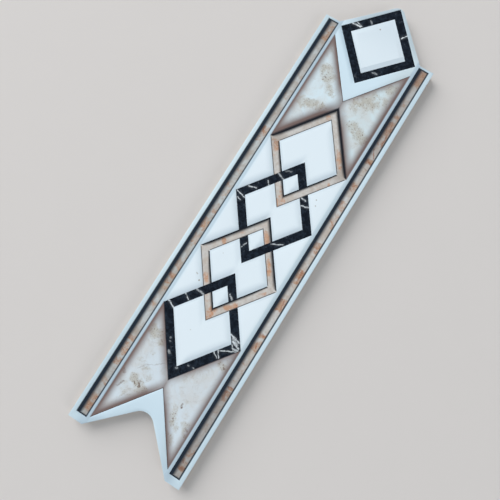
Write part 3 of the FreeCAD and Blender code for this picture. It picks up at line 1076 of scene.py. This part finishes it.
for item, end, depth in armShades:
    slant = slantPlace(x, along, item, end)
    outside = times(leftHalf, maths("LESS_THAN", slant, -item["reach"]))
    inside = times(rightHalf, maths("GREATER_THAN", slant, armInner - len(diamonds) * armStep))
    for armEdge, half in ((-item["reach"], outside), (armInner, inside)):
        gap = maths("WRAP", minus(armEdge, slant), armStep, 0.0)
        shade = most(shade, times(fade(gap, 0.0, whiteSizes["shadeRun"], depth, 0.0), half))
shade = times(shade, rest(ends))
squareGap = minus(square["reach"] - faceLayout["bandWidth"], slantPlace(x, along, square, 1))
before, past = whiteSizes["bevelSoft"]
bevelShade = fade(squareGap, relief["squareRun"] - before, relief["squareRun"] + past,
                  whiteSizes["squareShade"], 0.0)
bevelShade = most(bevelShade, fade(along, *whiteSizes["pointShade"]))
shade = most(shade, times(bevelShade, ends, rest(offSquare)))
# glaze pooling and painted shade along each cushion's edge, where its slope runs down to a frame
edgeDistance = addNode("Attribute", attribute_name="edgeDistance").outputs["Fac"]
pooledAndShaded = fade(edgeDistance, 0.0, whiteSizes["poolAndShadeRun"], whiteSizes["poolAndShadeDepth"], 0.0)
pooledAndShaded = times(pooledAndShaded, rest(onRim), fade(aside, *whiteSizes["cornerPoolAndShade"]))
tone = tint(whiteSizes["colour"], most(shade, pooledAndShaded), whiteSizes["poolAndShade"])
# painted shade on the rims and the fields at both ends
shadedRimTone = tint(whiteSizes["field"], fade(x, *whiteSizes["fieldFade"]), whiteSizes["shadedField"])
legGap = minus(-square["reach"], slantPlace(x, along, square, -1))
legShade = times(leftHalf, maths("LESS_THAN", along, square["middle"]),
                 fade(legGap, 0.0, whiteSizes["legRun"], 1.0, 0.0))
legShade = most(legShade, *[fade(along, *limits) for limits in whiteSizes["notchShades"]])
shadedRimTone = tint(shadedRimTone, legShade, whiteSizes["legShade"])
shadedRimTone = tint(shadedRimTone, fade(along, *whiteSizes["pointRimFade"]), whiteSizes["pointRimShade"])
tone = tint(tone, onRim, shadedRimTone)
# painted shade on the narrow rims between the wings and the strips
before, past = whiteSizes["innerRimSoft"]
shadeBesideStrip = times(fade(aside, wingHalf - before, wingHalf + past),
                    fade(fromRow, *whiteSizes["innerRimFade"]))
tone = tint(tone, shadeBesideStrip, whiteSizes["innerRimShade"])
# painted shade on the margins, deeper towards both ends
marginShadeTone = tint(whiteSizes["leftMarginShade"], sideways(x, whiteSizes["sideFade"]), whiteSizes["rightMarginShade"])
marginEndShades = times(fade(sizeOf(minus(along, tileLength / 2)), *whiteSizes["marginFade"]),
                   sideways(x, whiteSizes["sideFade"], 1.0, whiteSizes["rightMarginEndShade"]))
marginShadeTone = tint(marginShadeTone, marginEndShades, whiteSizes["marginEndShade"])
tone = tint(tone, fade(aside, stripInner, stripOuter), marginShadeTone)
tipStart, tipEnd = whiteSizes["tipEnd"]
onTip = times(fade(along, frameTop - whiteSizes["tipFoot"], frameTop),
              fade(along, tileLength - tipStart, tileLength - tipEnd, 1.0, 0.0),
              fade(inSquare, *whiteSizes["tipCorner"]))
tone = tint(tone, onTip, blackSizes["colour"])
spill, core = whiteSizes["lineSpill"], whiteSizes["lineCore"]
pastDepth = sideways(x, whiteSizes["sideFade"], *whiteSizes["spillPast"])
pastStrip = fade(minus(stripPlace(x), faceLayout["stripWidth"]), core, spill, pastDepth, 0.0)
beforeStrip = fade(plus(x, stripOuter), -spill, -core, 0.0, whiteSizes["spillBefore"])
lineSpill = blend(maths("LESS_THAN", x, -stripOuter), pastStrip, beforeStrip)
tone = tint(tone, times(lineSpill, within(along, stripLow, stripHigh)), stripSizes["line"])
besideWing = times(within(along, faceLayout["lowerWingFoot"], faceLayout["upperWingTop"]),
                   maths("GREATER_THAN", fromRow, (diamonds[-1]["middle"] - diamonds[0]["middle"]) / 2),
                   within(aside, wingHalf - slack["level"], stripInner))
wingSpill = fade(aside, wingHalf, wingHalf + whiteSizes["wingSpill"], whiteSizes["wingSpillDepth"], 0.0)
tone = tint(tone, times(besideWing, wingSpill), whiteSizes["brown"])
tone = tint(tone, printMarks(spot, whiteSizes["tear"], whiteSizes["specks"]), whiteSizes["speck"])
glaze(shader, spot, tone, whiteSizes["gloss"])

# biscuit: the bare fired body of the back and the lower side, with glaze runs at the top of the side
biscuitSizes = {
    "colour": (206, 188, 166), "dark": (176, 154, 130), "pit": (140, 118, 98),
    "clouds": (0.04, 4.0, 0.6, 7.0), "cloudFade": (0.35, 0.7),
    "sand": (1.4, 4.0, 0.7, 9.0), "pitFade": (0.58, 0.72, 0.0, 0.5),
    "runs": (0.12, 3.0, 0.5, 12.0), "runHeight": 5.68, "runDepth": 3.6, "runFade": (-0.1, 0.15),
    "roughness": 0.82, "runRoughness": 0.12, "bump": 0.5, "bumpDepth": 0.15,
}
shader, spot = newFinish(biscuit)
x, along, height = splitPlace(spot)
clouds, sand, runs = [noise(spot, *biscuitSizes[name]) for name in ("clouds", "sand", "runs")]
tone = tint(biscuitSizes["colour"], fade(clouds, *biscuitSizes["cloudFade"]), biscuitSizes["dark"])
tone = tint(tone, fade(sand, *biscuitSizes["pitFade"]), biscuitSizes["pit"])
runLine = scaledPlus(runs, -biscuitSizes["runDepth"], biscuitSizes["runHeight"])
run = fade(minus(height, runLine), *biscuitSizes["runFade"])
tone = tint(tone, run, whiteSizes["colour"])
roughness = blend(run, biscuitSizes["roughness"], biscuitSizes["runRoughness"])
wire(shader, {"Base Color": tone, "Roughness": roughness})
addBump(shader, times(sand, rest(run)), biscuitSizes["bump"], biscuitSizes["bumpDepth"])
print("finishes made:", ", ".join(finishNames))

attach(tile, "root")
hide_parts("border_tile")

# floor, camera and lights
floorSizes = {"size": 6.0, "colour": (212, 207, 204), "fibre": (196, 191, 188),
              "fibres": (30.0, 4.0, 0.6), "fibreShare": 0.12, "roughness": 0.9}
bpy.ops.object.select_all(action="DESELECT")
bpy.ops.mesh.primitive_plane_add(size=floorSizes["size"], location=(0, 0, 0))
floor = bpy.context.object
floor.name = "floor"
paper = bpy.data.materials.new("palePaper")
paper.use_nodes = True
openTree(paper.node_tree)
fibres = noise(addNode("TexCoord").outputs["Object"], *floorSizes["fibres"])
tone = tint(floorSizes["colour"], times(fibres, floorSizes["fibreShare"]), floorSizes["fibre"])
wire(tree.nodes["Principled BSDF"], {"Base Color": tone, "Roughness": floorSizes["roughness"]})
floor.data.materials.append(paper)

cameraSizes = {"spot": (30.2, 149.2, 356.0), "turn": (6.695, 1.629, 32.035), "lens": 32.4, "sensor": 36.0,
               "nearest": 10.0}
bpy.ops.object.camera_add(location=place(*cameraSizes["spot"]),
                          rotation=[radians(angle) for angle in cameraSizes["turn"]])
camera = bpy.context.object
camera.data.sensor_width = cameraSizes["sensor"]
camera.data.lens = cameraSizes["lens"]
camera.data.clip_start = cameraSizes["nearest"] * mm
bpy.context.scene.camera = camera

lightSizes = {  # colours here are those of the light itself
    "skyColour": (0.90, 0.96, 1.0, 1.0),
    "skyFade": (0.45, 0.78, 0.92, 0.15),  # dim overhead, brighter low down
    # name: spot in metres, size in metres, power in watts, colour
    "windowSoftbox": ((-4.0, 1.4, 2.7), 4.4, 274.0, (1.0, 1.0, 1.0)),
    "fillSoftbox": ((3.8, -1.0, 2.8), 2.6, 46.0, (0.95, 0.98, 1.0)),
}
world = bpy.data.worlds.new("studioSky")
bpy.context.scene.world = world
world.use_nodes = True
openTree(world.node_tree)
upward = splitPlace(addNode("TexCoord").outputs["Generated"])[2]
wire(tree.nodes["Background"], {"Color": lightSizes["skyColour"],
                                "Strength": fade(upward, *lightSizes["skyFade"])})
for name in ("windowSoftbox", "fillSoftbox"):
    spot, lampSize, power, colour = lightSizes[name]
    bpy.ops.object.light_add(type="AREA", location=spot)
    lamp = bpy.context.object
    lamp.name = name
    lamp.data.size = lampSize
    lamp.data.energy = power
    lamp.data.color = colour
    lamp.visible_glossy = False  # the glaze mirrors the sky alone, so that low views keep the pattern
    lamp.rotation_euler = (-lamp.location).to_track_quat("-Z", "Y").to_euler()
bpy.context.scene.view_settings.view_transform = "Standard"
print("camera and lights set")
